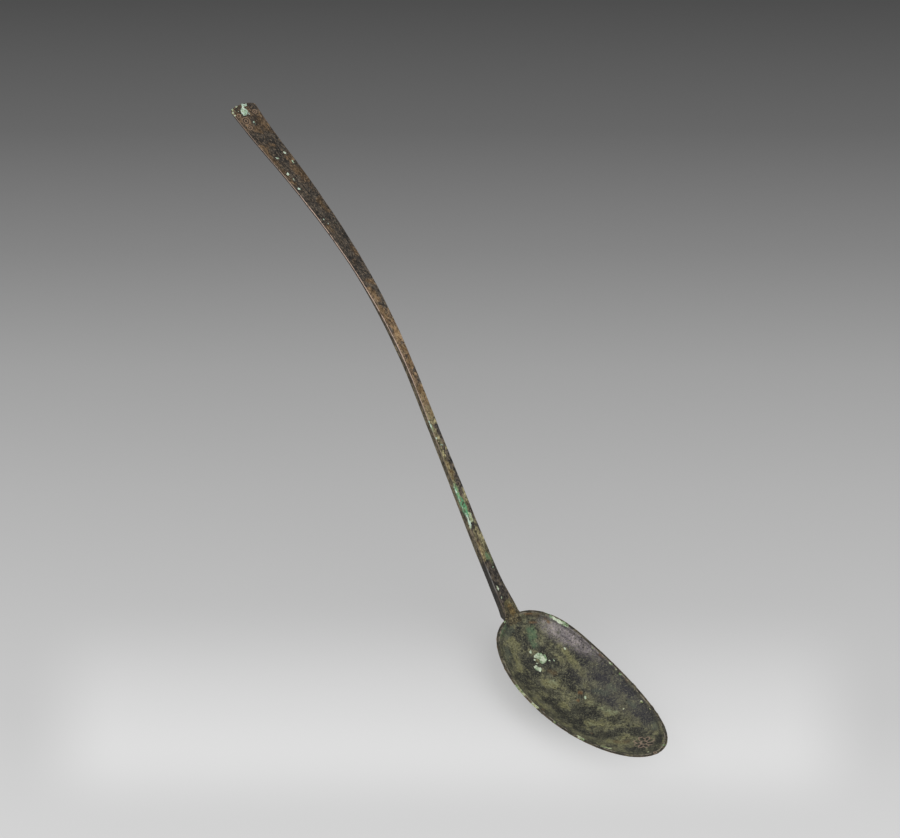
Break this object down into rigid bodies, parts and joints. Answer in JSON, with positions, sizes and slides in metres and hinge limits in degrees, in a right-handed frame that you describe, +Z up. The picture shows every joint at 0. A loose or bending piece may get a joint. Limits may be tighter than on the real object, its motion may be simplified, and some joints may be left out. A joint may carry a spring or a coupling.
{
  "type": "spoon",
  "caption": "Long-handled bronze spoon with a shallow oval bowl and a slender rising handle that flattens into a widening, upturned end.",
  "frame": {"origin": "middle of the small oval flat under the bowl's deepest point, on which the bowl rests", "axes": "+X towards the bowl's tip, +Y across the bowl, +Z up out of the bowl; heel and tip of the rim are level"},
  "size_m": [0.2315, 0.035, 0.1188],
  "materials": {
    "bowl_bronze": "olive to dark brown bronze patina, satin, with green crusts on the rim",
    "handle_bronze": "brown bronze patina, satin, with copper-coloured worn edges and green spots"
  },
  "bodies": {
    "root": {"bowl": "bowl_bronze", "handle": "handle_bronze"}
  },
  "joints": []
}
